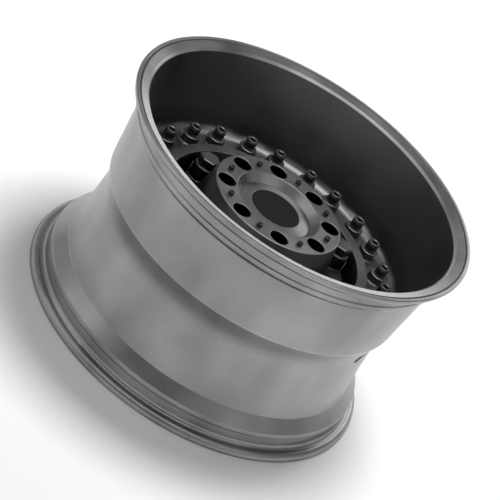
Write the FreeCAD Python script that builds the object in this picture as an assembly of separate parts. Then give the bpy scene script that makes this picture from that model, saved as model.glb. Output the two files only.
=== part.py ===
import FreeCAD, Part
import math
import os

# One-piece cast wheel with a deep dish, for eight studs.
# Frame: millimetres, the wheel's axis along +Z with the open dish facing up.
# The origin is the centre of the hub bore, on the plane of the mounting pad.

# Rim
RIM_DIAMETER = 512.8        # at the bead seats, nominal 20 inch
RIM_WIDTH = 304.8           # between the flange faces, 12 inch
OFFSET = -44.0              # mounting pad to rim centre line, negative is a deep dish
FLANGE_HEIGHT = 17.3        # flange above the bead seat
FLANGE_CURL = 9.5           # radius of the flange's rolled outer side
SEAT_LENGTH = 17.6
SEAT_TAPER = 5.0            # degrees
SEAT_ROUND = 6.5            # bead seat into flange
SEAT_END_ROUND = 0.8
HUMP_RISE = 1.5
HUMP_LENGTH = 1.8           # end of the seat to the top of the hump
HUMP_WIDTH = 6.6            # along the top of the hump
HUMP_FALL = 0.8             # the hump's top falls this much towards the barrel
HUMP_ROUND = 1.0
HUMP_END_ROUND = 2.5
FRONT_SLOPE_LENGTH = 6.8    # end of the hump to the foot of its slope
FRONT_SLOPE_RADIUS = 249.5
FRONT_SLOPE_ROUND = 3.0
FRONT_WALL = 130.1          # flange face to the edge where the barrel steps in
STEP_RADIUS = 240.5         # barrel at the step edge
STEP_ROUND = 1.2
STEP_LENGTH = 30.0
STEP_FOOT_ROUND = 75.0
DROP_RADIUS = 229.6         # smallest outside radius of the barrel, at the foot of the step
DROP_END = 92.0             # rear flange face to where the barrel widens faster
DROP_END_RADIUS = 232.4
DROP_END_ROUND = 250.0
REAR_SLOPE_RADIUS = 238.0   # where the barrel turns up to the rear hump
REAR_SLOPE_LENGTH = 43.0    # rear flange face to that turn
REAR_SLOPE_ROUND = 3.0
BARREL_WALL = 7.5
BARREL_INSIDE_ROUND = 12.0

# Lips
LIP_OVERHANG = 11.3         # lip crown beyond the flange face
LIP_BORE_RADIUS = 249.4     # inner edge of the lip
LIP_BEVEL = 3.4
LIP_LAND_START = 1.0        # crown to the lip's land beside the groove
LIP_LAND_DROP = 4.4         # crown to the land's inner edge
LIP_EDGE_ROUND = 0.8
CROWN_ROUND = 1.6
LIP_GROOVE_RADIUS = 266.8
LIP_GROOVE_WIDTH = 3.4
LIP_GROOVE_DEPTH = 3.4
LIP_GROOVE_ROUND = 0.4

# Dish floor and the raised band inside it
DISH_DEPTH = 128.9          # flange face to the floor between the bosses
DISH_FOOT_RADIUS = 229.2    # dish wall carried down to the floor
DISH_FILLET = 17.0
RING_THICKNESS = 16.0
BAND_INNER_RADIUS = 158.0
BAND_CLEARANCE = 9.7        # between the band's top and the feet of the bosses
BAND_HEIGHT = 17.2
BAND_DRAFT = 1.0            # widening of the band's outer side down to the floor
BAND_ROUND = 1.2
BAND_FOOT_ROUND = 3.0

# Bosses on the dish floor, in pairs
BOSS_WALL_CLEARANCE = 11.9  # between the feet of the bosses and the foot of the dish wall
BOSS_PAIRS = 12
BOSS_PAIR_ANGLE = 13.9      # between the two bosses of a pair
BOSS_RADIUS = 15.4
BOSS_TAPER = 1.2            # radius lost from foot to top
BOSS_HEIGHT = 13.2
BOSS_ROUND = 1.5
BOSS_FOOT_RADIUS = 16.6
BOSS_FOOT_HEIGHT = 1.4

# Channel between the band and the hub, and the pedestals with hexagonal heads that stand in it
CHANNEL_DEPTH = 25.7        # band top to channel floor
CHANNEL_FOOT_RADIUS = 146.0
WEB_THICKNESS = 14.0
WEB_BACK_ROUND = 14.0
PEDESTAL_COUNT = 6
PEDESTAL_ANGLE = 15.0       # first pedestal from +X
PEDESTAL_CIRCLE_RADIUS = 133.0
PEDESTAL_RADIUS = 18.2
PEDESTAL_FOOT_RADIUS = 20.0
PEDESTAL_HEIGHT = 21.5
PEDESTAL_ROUND = 1.0
HEX_FLATS = 28.5
HEX_HEIGHT = 14.0
HEX_CHAMFER = 1.2

# Hub
HUB_RADIUS = 103.0
HUB_FOOT_RADIUS = 116.0     # drafted side carried down to the channel floor
HUB_FILLET = 10.0
HUB_HEIGHT = 128.2          # mounting pad to the hub's front face
HUB_EDGE = 1.6
PAD_RADIUS = 104.0
PAD_EDGE = 1.5
BORE_RADIUS = 62.55
CONE_RADIUS = 68.0          # mouth of the cone that leads to the centre cap
CONE_FOOT_RADIUS = 57.8
CONE_DEPTH = 12.2
CONE_EDGE = 0.6
LUG_COUNT = 8
LUG_CIRCLE_RADIUS = 85.0
LUG_HOLE_RADIUS = 7.9
LUG_WELL_RADIUS = 14.3
LUG_WELL_EDGE = 0.8         # bevel at the mouth of the well
LUG_SEAT_HEIGHT = 22.0      # pad to the foot of the conical nut seat
LUG_SEAT_ANGLE = 60.0       # included angle of the nut seat
POCKET_RADIUS = 12.0        # cored pockets in the pad between the studs
POCKET_DEPTH = 88.0
POCKET_BEVEL = 3.0
VALVE_HOLE_RADIUS = 5.75
VALVE_ANGLE = -37.0         # from +X
VALVE_TILT = 82.0           # degrees from the wheel's axis
VALVE_DROP = 28.0           # below the dish floor
VALVE_SPOT_RADIUS = 12.0    # flat on the barrel that the valve seals on
VALVE_SPOT_CENTER = 230.2   # wheel's axis to the middle of that flat
VALVE_REACH = 24.0          # how far the cutters go on each side of the flat

# Ring bolts: socket head screws on the bosses
BOLT_HEAD_RADIUS = 9.1
BOLT_HEAD_HEIGHT = 15.0
BOLT_HEAD_CHAMFER = 1.4
BOLT_SHANK_RADIUS = 5.0
BOLT_SHANK_LENGTH = 16.0
BOLT_SOCKET_FLATS = 8.0
BOLT_SOCKET_DEPTH = 6.0

# Hub screws: small socket head screws between the lug wells
SCREW_CIRCLE_RADIUS = 85.3
SCREW_HEAD_RADIUS = 4.3
SCREW_HEAD_HEIGHT = 4.4
SCREW_HEAD_CHAMFER = 0.5
SCREW_SHANK_RADIUS = 2.5
SCREW_SHANK_LENGTH = 12.0
SCREW_SOCKET_FLATS = 4.4
SCREW_SOCKET_DEPTH = 2.4
THREAD_CLEARANCE = 0.1      # around a shank
HOLE_END_CLEARANCE = 1.5    # below a shank

# Centre cap pushed in from behind, its badge disc and the snap ring that holds it
CAP_CLEARANCE = 0.15
CAP_EDGE = 0.4
CAP_DOME_RISE = 2.9         # cap rises this much from its edge to the badge
CAP_WALL = 3.0
CAP_LEDGE_DEPTH = 3.0       # foot of the cone to the ledge behind it
CAP_FLANGE = 2.5
BADGE_RADIUS = 38.7
BADGE_THICKNESS = 1.6
BADGE_RECESS = 0.9
BADGE_CLEARANCE = 0.15
BADGE_EDGE = 0.5
SNAP_WIRE_RADIUS = 1.5
SNAP_INSET = 0.5            # wire centre inside the bore's surface
SNAP_CLEARANCE = 0.1
SNAP_SWEEP = 335.0          # degrees of wire, the rest is the gap

# Places worked out from the sizes above
SEAT_RADIUS = RIM_DIAMETER / 2
SEAT_END_RADIUS = SEAT_RADIUS - SEAT_LENGTH * math.tan(math.radians(SEAT_TAPER))
HUMP_RADIUS = SEAT_END_RADIUS + HUMP_RISE
HUMP_END = SEAT_LENGTH + HUMP_LENGTH + HUMP_WIDTH
FLANGE_RADIUS = SEAT_RADIUS + FLANGE_HEIGHT
FRONT_FACE = RIM_WIDTH / 2 - OFFSET
REAR_FACE = -RIM_WIDTH / 2 - OFFSET
FLOOR = FRONT_FACE - DISH_DEPTH
RING_BACK = FLOOR - RING_THICKNESS
BOSS_CIRCLE_RADIUS = DISH_FOOT_RADIUS - BOSS_WALL_CLEARANCE - BOSS_FOOT_RADIUS
BAND_OUTER_RADIUS = BOSS_CIRCLE_RADIUS - BOSS_FOOT_RADIUS - BAND_CLEARANCE
BAND_TOP = FLOOR + BAND_HEIGHT
BOSS_TOP = FLOOR + BOSS_HEIGHT
CHANNEL_FLOOR = BAND_TOP - CHANNEL_DEPTH
WEB_BACK = CHANNEL_FLOOR - WEB_THICKNESS
PEDESTAL_TOP = CHANNEL_FLOOR + PEDESTAL_HEIGHT
HEX_TOP = PEDESTAL_TOP + HEX_HEIGHT
CONE_FOOT = HUB_HEIGHT - CONE_DEPTH
CAP_LEDGE = CONE_FOOT - CAP_LEDGE_DEPTH
CAP_BACK = CAP_LEDGE - CAP_FLANGE
BADGE_SEAT = CONE_FOOT + CAP_DOME_RISE - BADGE_RECESS
SNAP_RADIUS = BORE_RADIUS - SNAP_INSET
SNAP_HEIGHT = CAP_BACK - SNAP_WIRE_RADIUS
EMBED = 4.0                 # how far a fused feature reaches into what carries it
OVERCUT = 1.0               # how far a cutter reaches past the face it opens

AXIS = FreeCAD.Vector(0, 0, 1)
CENTER = FreeCAD.Vector(0, 0, 0)


def on_section(radius, height):
    """A point of the wheel's half section, which lies in the XZ plane."""
    return FreeCAD.Vector(radius, 0, height)


def at_angle(radius, angle):
    """A point of the XY plane at a radius and an angle in degrees."""
    turn = math.radians(angle)
    return FreeCAD.Vector(radius * math.cos(turn), radius * math.sin(turn), 0)


def rounded_outline(corners):
    """A closed face from (point, rounding radius) corners, with tangent arcs at the corners."""
    edges = []
    first_start = None
    last_end = None
    count = len(corners)
    for index in range(count):
        corner, radius = corners[index]
        before = corners[index - 1][0]
        after = corners[(index + 1) % count][0]
        to_before = (before - corner).normalize()
        to_after = (after - corner).normalize()
        start = corner
        end = corner
        if radius > 0:
            half_angle = to_before.getAngle(to_after) / 2
            reach = radius / math.tan(half_angle)
            bisector = (to_before + to_after).normalize()
            middle = corner + bisector * (radius / math.sin(half_angle) - radius)
            start = corner + to_before * reach
            end = corner + to_after * reach
        if last_end is not None:
            edges.append(Part.makeLine(last_end, start))
        if radius > 0:
            edges.append(Part.Arc(start, middle, end).toShape())
        if first_start is None:
            first_start = start
        last_end = end
    edges.append(Part.makeLine(last_end, first_start))
    return Part.Face(Part.Wire(edges))


def turned(corners):
    """A solid of revolution from (radius, height, rounding) corners."""
    face = rounded_outline([(on_section(r, z), rounding) for r, z, rounding in corners])
    return face.revolve(CENTER, AXIS, 360)


def rod(radius, length, base, direction=AXIS):
    return Part.makeCylinder(radius, length, base, direction)


def hexagon_prism(flats, height, base):
    """An upright hexagonal prism with a flat facing +X."""
    corner_radius = flats / math.sqrt(3)
    corners = [base + at_angle(corner_radius, 30 + 60 * side) for side in range(7)]
    return Part.Face(Part.makePolygon(corners)).extrude(AXIS * height)


def edges_at(shape, height):
    """Edges of a shape that lie wholly at one height."""
    flat = 1e-4
    level = [edge.BoundBox for edge in shape.Edges]
    return [e for e, b in zip(shape.Edges, level) if max(abs(b.ZMin - height), abs(b.ZMax - height)) < flat]


def rounded_top(shape, height, radius):
    return shape.makeFillet(radius, edges_at(shape, height))


def beveled_top(shape, height, bevel):
    return shape.makeChamfer(bevel, edges_at(shape, height))


def lip_corners(face, out):
    """Lip from its inner edge out to the bead seat and hump; out is +1 in front and -1 behind."""
    crown = face + out * LIP_OVERHANG
    land = crown - out * LIP_LAND_DROP
    return [
        (LIP_BORE_RADIUS, land - out * LIP_BEVEL, LIP_EDGE_ROUND),
        (LIP_BORE_RADIUS + LIP_BEVEL, land, LIP_EDGE_ROUND),
        (LIP_GROOVE_RADIUS - LIP_GROOVE_WIDTH / 2, crown - out * LIP_LAND_START, LIP_GROOVE_ROUND),
        (LIP_GROOVE_RADIUS, crown - out * LIP_GROOVE_DEPTH, LIP_GROOVE_ROUND),
        (LIP_GROOVE_RADIUS + LIP_GROOVE_WIDTH / 2, crown, LIP_GROOVE_ROUND),
        (FLANGE_RADIUS, crown, CROWN_ROUND),
        (FLANGE_RADIUS, face, FLANGE_CURL),
        (SEAT_RADIUS, face, SEAT_ROUND),
        (SEAT_END_RADIUS, face - out * SEAT_LENGTH, SEAT_END_ROUND),
        (HUMP_RADIUS, face - out * (SEAT_LENGTH + HUMP_LENGTH), HUMP_ROUND),
        (HUMP_RADIUS - HUMP_FALL, face - out * HUMP_END, HUMP_END_ROUND),
    ]


def back_corners():
    """Mounting pad, back of the web and the ring, then the inside of the barrel to the rear lip."""
    return [
        (BORE_RADIUS, 0, 0),
        (PAD_RADIUS, 0, PAD_EDGE),
        (PAD_RADIUS, WEB_BACK, WEB_BACK_ROUND),
        (CHANNEL_FOOT_RADIUS, WEB_BACK, WEB_BACK_ROUND),
        (BAND_OUTER_RADIUS, RING_BACK, WEB_BACK_ROUND),
        (DROP_RADIUS - BARREL_WALL, RING_BACK, WEB_BACK_ROUND),
        (DROP_END_RADIUS - BARREL_WALL, REAR_FACE + DROP_END, DROP_END_ROUND),
        (REAR_SLOPE_RADIUS - BARREL_WALL, REAR_FACE + REAR_SLOPE_LENGTH, BARREL_INSIDE_ROUND),
        (HUMP_RADIUS - BARREL_WALL, REAR_FACE + SEAT_LENGTH, BARREL_INSIDE_ROUND),
    ]


def barrel_corners():
    """Outside of the barrel, from behind the rear hump to behind the front hump."""
    step = FRONT_FACE - FRONT_WALL
    return [
        (REAR_SLOPE_RADIUS, REAR_FACE + REAR_SLOPE_LENGTH, REAR_SLOPE_ROUND),
        (DROP_END_RADIUS, REAR_FACE + DROP_END, DROP_END_ROUND),
        (DROP_RADIUS, step - STEP_LENGTH, STEP_FOOT_ROUND),
        (STEP_RADIUS, step, STEP_ROUND),
        (FRONT_SLOPE_RADIUS, FRONT_FACE - HUMP_END - FRONT_SLOPE_LENGTH, FRONT_SLOPE_ROUND),
    ]


def face_corners():
    """Foot of the dish wall, floor, band, channel and hub, then the cone and the ledge for the cap."""
    return [
        (DISH_FOOT_RADIUS, FLOOR, DISH_FILLET),
        (BAND_OUTER_RADIUS + BAND_DRAFT, FLOOR, BAND_FOOT_ROUND),
        (BAND_OUTER_RADIUS, BAND_TOP, BAND_ROUND),
        (BAND_INNER_RADIUS, BAND_TOP, BAND_ROUND),
        (CHANNEL_FOOT_RADIUS, CHANNEL_FLOOR, 0),
        (HUB_FOOT_RADIUS, CHANNEL_FLOOR, HUB_FILLET),
        (HUB_RADIUS, HUB_HEIGHT, HUB_EDGE),
        (CONE_RADIUS, HUB_HEIGHT, CONE_EDGE),
        (CONE_FOOT_RADIUS, CONE_FOOT, 0),
        (CONE_FOOT_RADIUS, CAP_LEDGE, 0),
        (BORE_RADIUS, CAP_LEDGE, 0),
    ]


def turned_casting():
    front_lip = lip_corners(FRONT_FACE, 1)
    rear_lip = lip_corners(REAR_FACE, -1)
    corners = back_corners() + rear_lip + barrel_corners()
    corners += list(reversed(front_lip))
    corners += face_corners()
    return turned(corners)


def boss():
    """A bolt boss on +X: a slightly tapered round on a thin foot."""
    place = on_section(BOSS_CIRCLE_RADIUS, FLOOR)
    body = Part.makeCone(BOSS_RADIUS, BOSS_RADIUS - BOSS_TAPER, BOSS_HEIGHT, place, AXIS)
    foot = rod(BOSS_FOOT_RADIUS, BOSS_FOOT_HEIGHT + EMBED, place - AXIS * EMBED)
    return rounded_top(body, BOSS_TOP, BOSS_ROUND).fuse(foot)


def pedestal():
    """A round pedestal on +X with a hexagonal head, cast in one with the channel floor."""
    place = on_section(PEDESTAL_CIRCLE_RADIUS, 0)
    floor = place + AXIS * CHANNEL_FLOOR
    body = Part.makeCone(PEDESTAL_FOOT_RADIUS, PEDESTAL_RADIUS, PEDESTAL_HEIGHT, floor, AXIS)
    body = rounded_top(body, PEDESTAL_TOP, PEDESTAL_ROUND)
    foot = rod(PEDESTAL_FOOT_RADIUS, EMBED, floor - AXIS * EMBED)
    head = hexagon_prism(HEX_FLATS, HEX_HEIGHT + EMBED, place + AXIS * (PEDESTAL_TOP - EMBED))
    return body.fuse([foot, beveled_top(head, HEX_TOP, HEX_CHAMFER)])


def boss_angles():
    step = 360 / BOSS_PAIRS
    return [step * pair + side * BOSS_PAIR_ANGLE / 2 for pair in range(BOSS_PAIRS) for side in (-1, 1)]


def even_angles(count, first):
    return [first + 360 / count * place for place in range(count)]


def screw_angles():
    """Half way between the lug holes."""
    return even_angles(LUG_COUNT, 180 / LUG_COUNT)


def round_the_axis(shape, angles):
    """Copies of a shape turned about the wheel's axis."""
    copies = []
    for angle in angles:
        copy = shape.copy()
        copy.rotate(CENTER, AXIS, angle)
        copies.append(copy)
    return copies


def lug_cutter():
    """Stud hole, conical nut seat and the deep well above it with its beveled mouth, on +X."""
    place = on_section(LUG_CIRCLE_RADIUS, 0)
    cone_rise = (LUG_WELL_RADIUS - LUG_HOLE_RADIUS) / math.tan(math.radians(LUG_SEAT_ANGLE / 2))
    well_floor = LUG_SEAT_HEIGHT + cone_rise
    mouth_height = LUG_WELL_EDGE + OVERCUT
    mouth_foot = place + AXIS * (HUB_HEIGHT - LUG_WELL_EDGE)
    hole = rod(LUG_HOLE_RADIUS, LUG_SEAT_HEIGHT + 2 * OVERCUT, place - AXIS * OVERCUT)
    seat = Part.makeCone(LUG_HOLE_RADIUS, LUG_WELL_RADIUS, cone_rise, place + AXIS * LUG_SEAT_HEIGHT, AXIS)
    well = rod(LUG_WELL_RADIUS, HUB_HEIGHT - well_floor, place + AXIS * well_floor)
    mouth = Part.makeCone(LUG_WELL_RADIUS, LUG_WELL_RADIUS + mouth_height, mouth_height, mouth_foot, AXIS)
    return hole.fuse([seat, well, mouth])


def pocket_cutter():
    """Cored pocket in the mounting pad, on +X."""
    pocket = rod(POCKET_RADIUS, POCKET_DEPTH + OVERCUT, on_section(LUG_CIRCLE_RADIUS, -OVERCUT))
    return beveled_top(pocket, POCKET_DEPTH, POCKET_BEVEL)


def valve_cutter():
    """Valve hole through the barrel wall behind the ring and the sunk flat outside it, on +X."""
    tilt = math.radians(VALVE_TILT)
    outward = FreeCAD.Vector(math.sin(tilt), 0, -math.cos(tilt))
    middle = on_section(VALVE_SPOT_CENTER, FLOOR - VALVE_DROP)
    hole = rod(VALVE_HOLE_RADIUS, VALVE_REACH + OVERCUT, middle - outward * VALVE_REACH, outward)
    return hole.fuse(rod(VALVE_SPOT_RADIUS, VALVE_REACH, middle, outward))


def screw_hole(radius, length, circle_radius, seat):
    """Hole on +X for a shank, open at its seat."""
    depth = length + HOLE_END_CLEARANCE
    return rod(radius + THREAD_CLEARANCE, depth + OVERCUT, on_section(circle_radius, seat - depth))


def wheel_body():
    features = round_the_axis(boss(), boss_angles())
    features += round_the_axis(pedestal(), even_angles(PEDESTAL_COUNT, PEDESTAL_ANGLE))
    body = turned_casting().fuse(features)

    bolt_hole = screw_hole(BOLT_SHANK_RADIUS, BOLT_SHANK_LENGTH, BOSS_CIRCLE_RADIUS, BOSS_TOP)
    hub_hole = screw_hole(SCREW_SHANK_RADIUS, SCREW_SHANK_LENGTH, SCREW_CIRCLE_RADIUS, HUB_HEIGHT)
    cutters = [Part.makeTorus(SNAP_RADIUS, SNAP_WIRE_RADIUS + SNAP_CLEARANCE, AXIS * SNAP_HEIGHT)]
    cutters += round_the_axis(lug_cutter(), even_angles(LUG_COUNT, 0))
    cutters += round_the_axis(pocket_cutter(), screw_angles())
    cutters += round_the_axis(bolt_hole, boss_angles())
    cutters += round_the_axis(hub_hole, screw_angles())
    cutters += round_the_axis(valve_cutter(), [VALVE_ANGLE])
    return body.cut(cutters).removeSplitter()


def socket_screw(head, shank, socket):
    """A socket head screw seated on the origin, from the sizes of its head, shank and socket."""
    head_radius, head_height, head_chamfer = head
    shank_radius, shank_length = shank
    socket_flats, socket_depth = socket
    body = beveled_top(rod(head_radius, head_height, CENTER), head_height, head_chamfer)
    body = body.fuse(rod(shank_radius, shank_length, AXIS * -shank_length))
    return body.cut(hexagon_prism(socket_flats, socket_depth + OVERCUT, AXIS * (head_height - socket_depth)))


def screws_round(screw, circle_radius, seat, angles):
    screw.translate(on_section(circle_radius, seat))
    return Part.makeCompound(round_the_axis(screw, angles))


def ring_bolts():
    screw = socket_screw(
        (BOLT_HEAD_RADIUS, BOLT_HEAD_HEIGHT, BOLT_HEAD_CHAMFER),
        (BOLT_SHANK_RADIUS, BOLT_SHANK_LENGTH),
        (BOLT_SOCKET_FLATS, BOLT_SOCKET_DEPTH))
    return screws_round(screw, BOSS_CIRCLE_RADIUS, BOSS_TOP, boss_angles())


def hub_screws():
    screw = socket_screw(
        (SCREW_HEAD_RADIUS, SCREW_HEAD_HEIGHT, SCREW_HEAD_CHAMFER),
        (SCREW_SHANK_RADIUS, SCREW_SHANK_LENGTH),
        (SCREW_SOCKET_FLATS, SCREW_SOCKET_DEPTH))
    return screws_round(screw, SCREW_CIRCLE_RADIUS, HUB_HEIGHT, screw_angles())


def center_cap():
    """Domed cap: its flange bears on the ledge behind the cone, its face fills the cone's foot."""
    recess_radius = BADGE_RADIUS + BADGE_CLEARANCE
    edge_radius = CONE_FOOT_RADIUS - CAP_CLEARANCE
    flange_radius = BORE_RADIUS - CAP_CLEARANCE
    return turned([
        (0, BADGE_SEAT, 0),
        (recess_radius, BADGE_SEAT, 0),
        (recess_radius, BADGE_SEAT + BADGE_RECESS, 0),
        (edge_radius, CONE_FOOT, CAP_EDGE),
        (edge_radius, CAP_LEDGE, 0),
        (flange_radius, CAP_LEDGE, CAP_EDGE),
        (flange_radius, CAP_BACK, CAP_EDGE),
        (edge_radius - CAP_WALL, CAP_BACK, 0),
        (recess_radius, BADGE_SEAT - CAP_WALL, 0),
        (0, BADGE_SEAT - CAP_WALL, 0),
    ])


def cap_badge():
    return turned([
        (0, BADGE_SEAT, 0),
        (BADGE_RADIUS, BADGE_SEAT, 0),
        (BADGE_RADIUS, BADGE_SEAT + BADGE_THICKNESS, BADGE_EDGE),
        (0, BADGE_SEAT + BADGE_THICKNESS, 0),
    ])


def snap_ring():
    """Open ring of round wire in the bore's groove, against the back of the cap's flange."""
    return Part.makeTorus(SNAP_RADIUS, SNAP_WIRE_RADIUS, AXIS * SNAP_HEIGHT, AXIS, 0, 360, SNAP_SWEEP)


NODES = {
    "wheel_body": wheel_body,
    "ring_bolts": ring_bolts,
    "hub_screws": hub_screws,
    "center_cap": center_cap,
    "cap_badge": cap_badge,
    "snap_ring": snap_ring,
}

os.makedirs("parts", exist_ok=True)
for name, make in NODES.items():
    shape = make()
    shape.exportStep("parts/" + name + ".step")
    print(name, "solids", len(shape.Solids), "valid", shape.isValid(), "volume", round(shape.Volume))
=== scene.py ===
import math
from collections import namedtuple

import bmesh
import bpy
import numpy as np
from mathutils import Matrix, Vector


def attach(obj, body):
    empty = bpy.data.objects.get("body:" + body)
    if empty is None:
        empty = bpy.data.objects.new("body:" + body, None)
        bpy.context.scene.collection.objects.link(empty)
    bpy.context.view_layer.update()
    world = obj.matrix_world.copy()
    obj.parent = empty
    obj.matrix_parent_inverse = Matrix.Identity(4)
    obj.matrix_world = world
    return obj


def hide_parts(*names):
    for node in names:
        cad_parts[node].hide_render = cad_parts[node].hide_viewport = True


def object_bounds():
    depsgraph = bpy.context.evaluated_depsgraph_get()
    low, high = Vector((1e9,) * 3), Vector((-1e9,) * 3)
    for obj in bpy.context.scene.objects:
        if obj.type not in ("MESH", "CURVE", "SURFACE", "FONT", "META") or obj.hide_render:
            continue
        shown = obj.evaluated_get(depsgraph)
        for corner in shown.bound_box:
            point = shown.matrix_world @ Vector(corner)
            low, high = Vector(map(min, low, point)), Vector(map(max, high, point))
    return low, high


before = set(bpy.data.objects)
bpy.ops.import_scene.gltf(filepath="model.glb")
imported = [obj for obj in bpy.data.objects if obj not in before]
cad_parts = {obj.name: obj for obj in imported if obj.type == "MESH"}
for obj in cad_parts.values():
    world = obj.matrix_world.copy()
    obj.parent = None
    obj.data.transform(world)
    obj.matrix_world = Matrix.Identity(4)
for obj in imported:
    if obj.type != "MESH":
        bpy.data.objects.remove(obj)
cad_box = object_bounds()

# Camera, in metres and degrees about the wheel's frame
AIM = Vector((-0.020, -0.070, 0.080))
DISTANCE = 3.281
AZIMUTH = -108.86
ELEVATION = 29.79
ROLL = 34.97
LENS = 167.1                # on a 36 mm sensor
CLIP_END = 50.0

# Stage
WHITE = (1, 1, 1, 1)
FLOOR_SIZE = 14.0
FLOOR_COLOR = (0.92, 0.92, 0.92, 1)
FLOOR_ROUGHNESS = 0.9
FLOOR_GLOW = ((0.6, 0.03), (3.0, 0.70))         # distance from the wheel, lift to white
SKY = ((0.0, 1.0), (0.5, 0.30), (0.8, 0.11))    # sine of the elevation, strength of the surround

# Softboxes, by direction and distance from the camera's aim
Softbox = namedtuple("Softbox", "name azimuth elevation distance width height radiance on_matte on_gloss")
SOFTBOXES = (
    Softbox("zenith", 71.0, 84.0, 1.8, 1.4, 1.4, 2.6, on_matte=False, on_gloss=True),
    Softbox("left", 172.0, 44.0, 2.2, 1.9, 1.3, 0.85, on_matte=True, on_gloss=True),
    Softbox("right", -42.0, 48.0, 2.2, 1.7, 1.2, 0.52, on_matte=True, on_gloss=True),
    Softbox("back_right", 52.0, 22.0, 3.0, 1.0, 0.9, 2.8, on_matte=True, on_gloss=True),
    Softbox("back_low", 71.0, 8.0, 3.2, 2.4, 0.7, 2.1, on_matte=True, on_gloss=True),
    Softbox("key", 58.0, 76.0, 2.4, 0.8, 0.8, 26.0, on_matte=True, on_gloss=False),
)

# Gunmetal paint
GUNMETAL = (0.290, 0.294, 0.301)
GUNMETAL_ROUGHNESS = 0.34
ROUGHNESS_DEPTH = 0.04      # how far the roughness wanders with the clouds
CLOUD_SCALE = 13.0
CLOUD_DETAIL = 1.5
CLOUD_DEPTH = 0.22          # how far the paint's tone wanders
CLOUD_RANGE = (0.3, 0.7)    # values of the noise that the clouds run between
STREAK_SCALE = (1.0, 1.0, 0.6)  # draws the clouds out along the wheel's axis
GRAIN_SCALE = 420.0
GRAIN_DEPTH = 0.04
GRAIN_RANGE = (0.35, 0.65)
PEEL_SCALE = 700.0          # faint orange-peel of the paint
PEEL_STRENGTH = 0.04
PEEL_HEIGHT = 0.0004
FINE_DETAIL = 2.0           # detail of every fine noise
SHADE_SAMPLES = 6

# Painted shade in the dish and recesses
PAINTED_DISH_SHADE = 0.74           # painted shade inside the barrel, on surfaces that face the axis
DISH_FACING = (-0.20, -0.05)    # normal times place, on those surfaces and on all others
RECESS_REACH = 0.07         # recesses up to this size get painted shade
RECESS_PAINTED_SHADE = 0.04         # how much of the paint's colour is left in the deepest ones
LIP_RECESS_PAINTED_SHADE = 0.65     # the same round the bosses and in the grooves of the lips
CHANNEL_RIM = (0.165, 0.185)    # distance from the axis where one changes to the other
RECESS_RANGE = (0.30, 0.80)     # openness of the deepest recesses and of open surfaces

# Rounded edges, with painted highlights along them and along the barrel's step
EDGE_ROUND = 0.0016         # soft light on sharp edges and inner corners round the hub, and the width of their painted highlight
LIP_EDGE_ROUND = 0.0003     # the same on the lips and the barrel
HUB_RIM = (0.20, 0.21)      # distance from the axis where one changes to the other
EDGE_PAINTED_HIGHLIGHT = 1.3             # painted highlight along those edges and inner corners
EDGE_BEND = (0.86, 0.99)    # cosine of the bend on an edge and on a flat
STEP_DROP = 0.1414          # edge where the barrel steps in, below the top of the front lip
STEP_LINE = 0.0016          # half width of the painted highlight along that edge
STEP_PAINTED_HIGHLIGHT = 1.45            # painted highlight in that line
BARREL_REACH = (0.225, 0.226)   # distance from the axis where the barrel's outside begins

# Black oxide of the bolts and screws, with painted shade in the knurls
BOLT_BLACK = (0.150, 0.152, 0.157)
BOLT_ROUGHNESS = 0.30
SCREW_BLACK = (0.090, 0.091, 0.095)
SCREW_ROUGHNESS = 0.38
OXIDE_METALLIC = 0.85
OXIDE_SCALE = 160.0
OXIDE_DETAIL = 3.0
OXIDE_DEPTH = 0.25
OXIDE_ROUGHNESS_DEPTH = 0.05
OXIDE_BUMP_SCALE = 1800.0
OXIDE_BUMP_STRENGTH = 0.08
FINE_BUMP_HEIGHT = 0.0002
KNURL_GAP = 0.0025          # gaps up to this width get painted shade
KNURL_PAINTED_SHADE = 0.12          # how much of the colour is left in them
KNURL_RANGE = (0.45, 0.95)  # openness of the deepest gaps and of open surfaces
KNURL_SAMPLES = 4

# Satin disc and bright wire
BADGE_BLACK = (0.010, 0.010, 0.011)
BADGE_ROUGHNESS = (0.42, 0.50)
BADGE_SPECULAR = 0.06
BADGE_SCALE = 900.0
BADGE_DEPTH = 0.15
BADGE_BUMP_STRENGTH = 0.05
WIRE_STEEL = (0.45, 0.45, 0.46)
WIRE_ROUGHNESS = (0.28, 0.42)
WIRE_SCALE = 1200.0
WIRE_TONE = (0.85, 1.1)

# Knurled socket screws, lengths as shares of the head's height and radii as shares of its radius
BOLT_TEETH = 24
SCREW_TEETH = 18
STEPS_PER_TOOTH = 4
SHANK_SHARE = 0.55
TIP_SHARE = 0.8             # of the shank
TIP_LENGTH = 0.1
FOOT_SHARE = 0.97
FOOT_BEVEL = 0.02
KNURL_DEPTH = 0.13
KNURL_START = 0.06
KNURL_END = 0.74
KNURL_RUNOUT = 0.03         # length in which the teeth rise at either end
GROOVE = ((1.0, 0.025), (0.95, 0.05), (0.95, 0.08), (1.0, 0.105))   # radius, height above the knurl
CROWN = ((1.0, 0.10), (0.985, 0.05), (0.94, 0.015), (0.88, 0.0))    # radius, depth below the top
SOCKET_SHARE = 0.52         # socket's half width across flats
SOCKET_MOUTH = 1.16         # bevel round the socket, measured from its corners
SOCKET_BEVEL = 0.06
SOCKET_DEPTH = 0.42
HEX_CORNER = 1.155          # corner of a hexagon over its half width
HEAD_EDGE = 0.9             # vertices of the CAD screw past this share of its reach are on the head
SHARP_ANGLE = 35.0          # degrees
RING_GAP = 3.0              # degrees: a wider gap parts one screw's vertices from the next one's

# Sockets of a colour mix node: factor and two colours, and the mixed colour
MIX_INPUTS = (0, 6, 7)
MIX_RESULT = 2


def add_object(name, data):
    """Puts a new object with this data into the scene."""
    thing = bpy.data.objects.new(name, data)
    bpy.context.scene.collection.objects.link(thing)
    return thing


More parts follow.
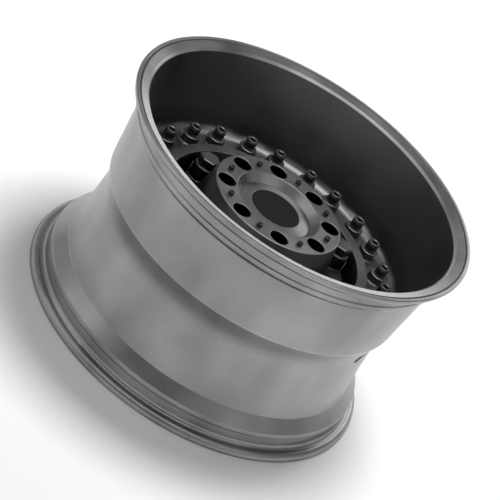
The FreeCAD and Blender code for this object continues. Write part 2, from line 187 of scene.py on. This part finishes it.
def ring_clusters(node):
    """Vertices of a node that stands round the wheel's axis, one array for each separate solid."""
    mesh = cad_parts[node].data
    points = np.array([v.co for v in mesh.vertices])
    angles = np.degrees(np.arctan2(points[:, 1], points[:, 0]))
    order = np.argsort(angles)
    points, angles = points[order], angles[order]
    splits = np.flatnonzero(np.diff(angles) > RING_GAP) + 1
    clusters = np.split(points, splits)
    if angles[0] + 360 - angles[-1] < RING_GAP:
        clusters[0] = np.vstack([clusters[0], clusters.pop()])
    return clusters


def screw_place(points):
    """Axis point, seat, top, bottom, head radius and turn of one socket screw from its vertices."""
    middle = points[:, :2].mean(axis=0)
    turn = math.atan2(middle[1], middle[0])
    across = np.array([-math.sin(turn), math.cos(turn)])
    along = np.array([math.cos(turn), math.sin(turn)])
    sideways = points[:, :2] @ across
    outward = points[:, :2] @ along
    center = along * (outward.min() + outward.max()) / 2 + across * (sideways.min() + sideways.max()) / 2
    reach = np.hypot(*(points[:, :2] - center).T)
    head_radius = reach.max()
    head_heights = points[reach > HEAD_EDGE * head_radius, 2]
    return center, head_heights.min(), points[:, 2].max(), points[:, 2].min(), head_radius, turn


def circle(radius):
    """Radius rule of a plain ring: the same at every angle and at every phase of a tooth."""
    return lambda angle, phase: radius


def knurled(radius, depth):
    """Radius rule of a ring of teeth."""
    return lambda angle, phase: radius - depth * (0.5 - 0.5 * math.cos(phase)) ** 2


def hexagon(half_flats):
    """Radius rule of a hexagon."""
    def reach(angle, phase):
        from_flat = (math.degrees(angle) + 30) % 60 - 30
        return half_flats / math.cos(math.radians(from_flat))
    return reach


def screw_rings(seat, top, bottom, radius):
    """Outline of a knurled socket screw: (radius rule, height) rings from the shank's tip to the socket."""
    height = top - seat
    shank = SHANK_SHARE * radius
    socket = SOCKET_SHARE * radius
    teeth = knurled(radius, KNURL_DEPTH * radius)
    low = seat + KNURL_START * height
    high = seat + KNURL_END * height
    rings = [
        (circle(shank * TIP_SHARE), bottom),
        (circle(shank), bottom + TIP_LENGTH * height),
        (circle(shank), seat),
        (circle(radius * FOOT_SHARE), seat),
        (circle(radius), seat + FOOT_BEVEL * height),
        (circle(radius), low),
        (teeth, low + KNURL_RUNOUT * height),
        (teeth, high - KNURL_RUNOUT * height),
        (circle(radius), high),
    ]
    rings += [(circle(radius * share), high + rise * height) for share, rise in GROOVE]
    rings += [(circle(radius * share), top - drop * height) for share, drop in CROWN]
    rings += [
        (circle(socket * SOCKET_MOUTH * HEX_CORNER), top),
        (hexagon(socket), top - SOCKET_BEVEL * height),
        (hexagon(socket), top - SOCKET_DEPTH * height),
    ]
    return rings


def add_screw(mesh, rings, teeth, center, turn):
    """Lofts the rings into a closed screw and adds it to a bmesh."""
    count = teeth * STEPS_PER_TOOTH
    loops = []
    for rule, height in rings:
        loop = []
        for step in range(count):
            angle = 2 * math.pi * step / count
            reach = rule(angle, 2 * math.pi * step / STEPS_PER_TOOTH)
            x = center[0] + reach * math.cos(angle + turn)
            y = center[1] + reach * math.sin(angle + turn)
            loop.append(mesh.verts.new((x, y, height)))
        loops.append(loop)
    for below, above in zip(loops, loops[1:]):
        for step in range(count):
            after = (step + 1) % count
            mesh.faces.new((below[step], below[after], above[after], above[step]))
    mesh.faces.new(list(reversed(loops[0])))
    mesh.faces.new(loops[-1])


def knurled_screws(name, node, teeth, material):
    """One piece with a knurled screw in the place of each solid of a CAD node."""
    mesh = bmesh.new()
    for points in ring_clusters(node):
        center, seat, top, bottom, radius, turn = screw_place(points)
        add_screw(mesh, screw_rings(seat, top, bottom, radius), teeth, center, turn)
    data = bpy.data.meshes.new(name)
    mesh.to_mesh(data)
    mesh.free()
    piece = add_object(name, data)
    data.materials.append(material)
    data.shade_smooth()
    data.set_sharp_from_angle(angle=math.radians(SHARP_ANGLE))
    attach(piece, "root")
    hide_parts(node)


class Nodes:
    """The node tree of a material or world, with short calls to add and join nodes."""

    def __init__(self, owner, shader="Principled BSDF"):
        owner.use_nodes = True
        self.owner = owner
        self.tree = owner.node_tree
        self.shader = self.tree.nodes[shader]

    def feed(self, socket, given):
        """Joins a socket to another node's output, or sets it to a value."""
        if isinstance(given, bpy.types.NodeSocket):
            self.tree.links.new(given, socket)
        else:
            socket.default_value = given

    def surface(self, name, given):
        """Feeds one of the shader's sockets."""
        self.feed(self.shader.inputs[name], given)

    def add(self, kind, **values):
        """A new node with its sockets fed and its settings made by name."""
        node = self.tree.nodes.new(kind)
        for key, value in values.items():
            if key in node.inputs:
                self.feed(node.inputs[key], value)
            else:
                setattr(node, key, value)
        return node

    def math(self, operation, first, second):
        node = self.add("ShaderNodeMath", operation=operation)
        self.feed(node.inputs[0], first)
        self.feed(node.inputs[1], second)
        return node.outputs["Value"]

    def product(self, first, *others):
        for other in others:
            first = self.math("MULTIPLY", first, other)
        return first

    def vector_math(self, operation, *vectors):
        """A vector operation whose result is a number."""
        node = self.add("ShaderNodeVectorMath", operation=operation)
        for socket, vector in zip(node.inputs, vectors):
            self.feed(socket, vector)
        return node.outputs["Value"]

    def spread(self, value, low, high, start=0.0, end=1.0):
        """Maps a value between start and end to the range from low to high."""
        ends = {"From Min": start, "From Max": end, "To Min": low, "To Max": high}
        return self.add("ShaderNodeMapRange", Value=value, **ends).outputs["Result"]

    def wander(self, value, middle, depth, limits=(0.0, 1.0)):
        """Maps a value between two limits to a range about a middle."""
        return self.spread(value, middle - depth, middle + depth, *limits)

    def noise(self, scale, detail, place):
        return self.add("ShaderNodeTexNoise", Scale=scale, Detail=detail, Vector=place).outputs["Fac"]

    def stretched(self, place, scale):
        return self.add("ShaderNodeMapping", Scale=scale, Vector=place).outputs["Vector"]

    def openness(self, reach, samples):
        """1 on open surfaces and less in gaps of the same piece."""
        shade = self.add("ShaderNodeAmbientOcclusion", Distance=reach, only_local=True, samples=samples)
        return shade.outputs["AO"]

    def mix(self, blend, *given):
        """Two colours blended by a factor, which comes first."""
        node = self.add("ShaderNodeMix", data_type="RGBA", blend_type=blend)
        for socket, value in zip(MIX_INPUTS, given):
            self.feed(node.inputs[socket], value)
        return node.outputs[MIX_RESULT]

    def tint(self, color, factor):
        """Gives the shader a colour multiplied by a grey factor that varies over the surface."""
        grey = self.add("ShaderNodeCombineColor", Red=factor, Green=factor, Blue=factor)
        self.surface("Base Color", self.mix("MULTIPLY", 1.0, (*color, 1), grey.outputs["Color"]))

    def bump(self, height, strength, distance, **normal):
        """Gives the shader a bumpy normal."""
        node = self.add("ShaderNodeBump", Strength=strength, Distance=distance, Height=height, **normal)
        self.surface("Normal", node.outputs["Normal"])


def gunmetal_paint(name):
    """Matte metallic paint: clouds, fine grain, painted shade in recesses and dish, painted highlights on
    edges and the step, faint orange-peel.
    """
    nodes = Nodes(bpy.data.materials.new(name))
    spot = nodes.add("ShaderNodeTexCoord")
    place = spot.outputs["Object"]
    from_axis = nodes.vector_math("LENGTH", nodes.stretched(place, (1, 1, 0)))
    facing = nodes.vector_math("DOT_PRODUCT", spot.outputs["Normal"], place)
    off_dish = nodes.spread(facing, 0.0, 1.0, *DISH_FACING)

    clouds = nodes.noise(CLOUD_SCALE, CLOUD_DETAIL, nodes.stretched(place, STREAK_SCALE))
    mottle = nodes.product(nodes.wander(clouds, 0.0, CLOUD_DEPTH, CLOUD_RANGE), off_dish)
    grain = nodes.wander(nodes.noise(GRAIN_SCALE, FINE_DETAIL, place), 1.0, GRAIN_DEPTH, GRAIN_RANGE)
    # painted shade in recesses, darkest in the channel round the hub, lighter round the bosses and in the
    # lips' grooves
    deepest = nodes.spread(from_axis, RECESS_PAINTED_SHADE, LIP_RECESS_PAINTED_SHADE, *CHANNEL_RIM)
    recess = nodes.spread(nodes.openness(RECESS_REACH, SHADE_SAMPLES), deepest, 1.0, *RECESS_RANGE)
    # painted shade: surfaces inside the barrel that face the axis are darker
    dish = nodes.spread(off_dish, PAINTED_DISH_SHADE, 1.0)
    tone = nodes.product(nodes.math("ADD", mottle, 1.0), grain, recess, dish)

    edge_round = nodes.spread(from_axis, EDGE_ROUND, LIP_EDGE_ROUND, *HUB_RIM)
    soft_edge = nodes.add("ShaderNodeBevel", samples=SHADE_SAMPLES, Radius=edge_round).outputs["Normal"]
    normal = nodes.add("ShaderNodeNewGeometry").outputs["Normal"]
    flatness = nodes.vector_math("DOT_PRODUCT", soft_edge, normal)
    # painted highlight along sharp edges and inner corners, where the bevel bends the normal
    tone = nodes.math("MAXIMUM", tone, nodes.spread(flatness, EDGE_PAINTED_HIGHLIGHT, 0.0, *EDGE_BEND))

    # painted highlight: a light line along the edge where the barrel steps in
    step = cad_box[1][2] - STEP_DROP
    height = nodes.add("ShaderNodeSeparateXYZ", Vector=place).outputs["Z"]
    rising = nodes.spread(height, 0.0, 1.0, step - STEP_LINE, step)
    falling = nodes.spread(height, 1.0, 0.0, step, step + STEP_LINE)
    painted_step_highlight = nodes.product(rising, falling, nodes.spread(from_axis, 0.0, 1.0, *BARREL_REACH))
    tone = nodes.product(tone, nodes.spread(painted_step_highlight, 1.0, STEP_PAINTED_HIGHLIGHT))

    nodes.tint(GUNMETAL, tone)
    nodes.surface("Metallic", 1.0)
    nodes.surface("Roughness", nodes.wander(clouds, GUNMETAL_ROUGHNESS, ROUGHNESS_DEPTH, CLOUD_RANGE))
    nodes.bump(nodes.noise(PEEL_SCALE, FINE_DETAIL, place), PEEL_STRENGTH, PEEL_HEIGHT, Normal=soft_edge)
    return nodes.owner


def dark_metal(name, color, roughness):
    """Black oxide on steel, a little uneven, with painted shade in the gaps of the knurls."""
    nodes = Nodes(bpy.data.materials.new(name))
    place = nodes.add("ShaderNodeTexCoord").outputs["Object"]
    clouds = nodes.noise(OXIDE_SCALE, OXIDE_DETAIL, place)
    # painted shade in the gaps between the knurl's teeth
    gaps = nodes.spread(nodes.openness(KNURL_GAP, KNURL_SAMPLES), KNURL_PAINTED_SHADE, 1.0, *KNURL_RANGE)
    nodes.tint(color, nodes.product(nodes.wander(clouds, 1.0, OXIDE_DEPTH), gaps))
    nodes.surface("Metallic", OXIDE_METALLIC)
    nodes.surface("Roughness", nodes.wander(clouds, roughness, OXIDE_ROUGHNESS_DEPTH))
    nodes.bump(nodes.noise(OXIDE_BUMP_SCALE, FINE_DETAIL, place), OXIDE_BUMP_STRENGTH, FINE_BUMP_HEIGHT)
    return nodes.owner


def satin_black(name):
    """Satin plastic of the badge disc with a fine grain."""
    nodes = Nodes(bpy.data.materials.new(name))
    place = nodes.add("ShaderNodeTexCoord").outputs["Object"]
    grain = nodes.noise(BADGE_SCALE, FINE_DETAIL, place)
    nodes.tint(BADGE_BLACK, nodes.wander(grain, 1.0, BADGE_DEPTH))
    nodes.surface("Roughness", nodes.spread(grain, *BADGE_ROUGHNESS))
    nodes.surface("Specular IOR Level", BADGE_SPECULAR)
    nodes.bump(grain, BADGE_BUMP_STRENGTH, FINE_BUMP_HEIGHT)
    return nodes.owner


def drawn_wire(name):
    """Bright wire with fine marks from drawing."""
    nodes = Nodes(bpy.data.materials.new(name))
    place = nodes.add("ShaderNodeTexCoord").outputs["Object"]
    marks = nodes.noise(WIRE_SCALE, FINE_DETAIL, place)
    nodes.tint(WIRE_STEEL, nodes.spread(marks, *WIRE_TONE))
    nodes.surface("Metallic", 1.0)
    nodes.surface("Roughness", nodes.spread(marks, *WIRE_ROUGHNESS))
    return nodes.owner


def paint(node, material):
    """Gives a CAD node its material."""
    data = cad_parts[node].data
    data.materials.clear()
    data.materials.append(material)


def looking_at_aim(azimuth, elevation, distance):
    """Place of a camera or lamp that looks at the aim from a direction and a distance."""
    turn, rise = math.radians(azimuth), math.radians(elevation)
    toward = Vector((math.cos(rise) * math.cos(turn), math.cos(rise) * math.sin(turn), math.sin(rise)))
    facing = toward.to_track_quat("Z", "Y").to_matrix().to_4x4()
    return Matrix.Translation(AIM + toward * distance) @ facing


def make_camera():
    data = bpy.data.cameras.new("camera")
    data.lens = LENS
    data.clip_end = CLIP_END
    camera = add_object("camera", data)
    roll = Matrix.Rotation(math.radians(ROLL), 4, "Z")
    camera.matrix_world = looking_at_aim(AZIMUTH, ELEVATION, DISTANCE) @ roll
    bpy.context.scene.camera = camera


def seen_or_mirrored(nodes):
    """1 for what the camera sees directly, mirrored or through glass, and 0 for light on surfaces."""
    path = nodes.add("ShaderNodeLightPath")
    seen = path.outputs["Is Camera Ray"]
    for kind in ("Is Glossy Ray", "Is Transmission Ray"):
        seen = nodes.math("MAXIMUM", seen, path.outputs[kind])
    return seen


def make_floor():
    """Pale floor under the rear lip, lifted to white where it is seen or mirrored."""
    half = FLOOR_SIZE / 2
    level = cad_box[0][2]
    data = bpy.data.meshes.new("floor")
    corners = [(-half, -half, level), (half, -half, level), (half, half, level), (-half, half, level)]
    data.from_pydata(corners, [], [(0, 1, 2, 3)])
    floor = add_object("floor", data)
    nodes = Nodes(bpy.data.materials.new("pale_floor"))
    nodes.surface("Base Color", FLOOR_COLOR)
    nodes.surface("Roughness", FLOOR_ROUGHNESS)
    nodes.surface("Specular IOR Level", 0.0)
    nodes.surface("Emission Color", WHITE)
    (near, near_glow), (far, far_glow) = FLOOR_GLOW
    away = nodes.vector_math("LENGTH", nodes.add("ShaderNodeTexCoord").outputs["Object"])
    glow = nodes.spread(away, near_glow, far_glow, near, far)
    nodes.surface("Emission Strength", nodes.product(glow, seen_or_mirrored(nodes)))
    data.materials.append(nodes.owner)


def make_world():
    """Studio surround: bright at the horizon, dim overhead, plain white where the camera sees it."""
    nodes = Nodes(bpy.data.worlds.new("studio"), "Background")
    direction = nodes.add("ShaderNodeTexCoord").outputs["Generated"]
    height = nodes.add("ShaderNodeSeparateXYZ", Vector=direction).outputs["Z"]
    sky = nodes.add("ShaderNodeValToRGB", Fac=height)
    stops = sky.color_ramp.elements
    given_stops = len(stops)
    for index, (sine, strength) in enumerate(SKY):
        stop = stops[index] if index < given_stops else stops.new(sine)
        stop.position = sine
        stop.color = (strength, strength, strength, 1)
    seen = nodes.add("ShaderNodeLightPath").outputs["Is Camera Ray"]
    nodes.surface("Color", nodes.mix("MIX", seen, sky.outputs["Color"], WHITE))
    bpy.context.scene.world = nodes.owner


def make_softboxes():
    for box in SOFTBOXES:
        data = bpy.data.lights.new(box.name, "AREA")
        data.shape = "RECTANGLE"
        data.size = box.width
        data.size_y = box.height
        data.energy = box.radiance * math.pi * box.width * box.height
        lamp = add_object(box.name, data)
        lamp.visible_diffuse = box.on_matte
        lamp.visible_glossy = box.on_gloss
        lamp.matrix_world = looking_at_aim(box.azimuth, box.elevation, box.distance)


paint("wheel_body", gunmetal_paint("gunmetal_casting"))
paint("center_cap", gunmetal_paint("gunmetal_cap"))
paint("cap_badge", satin_black("black_badge"))
paint("snap_ring", drawn_wire("spring_wire"))
bolt_metal = dark_metal("black_bolts", BOLT_BLACK, BOLT_ROUGHNESS)
knurled_screws("knurled_ring_bolts", "ring_bolts", BOLT_TEETH, bolt_metal)
screw_metal = dark_metal("dark_screws", SCREW_BLACK, SCREW_ROUGHNESS)
knurled_screws("knurled_hub_screws", "hub_screws", SCREW_TEETH, screw_metal)

make_camera()
make_floor()
make_world()
make_softboxes()
bpy.context.scene.view_settings.view_transform = "Standard"
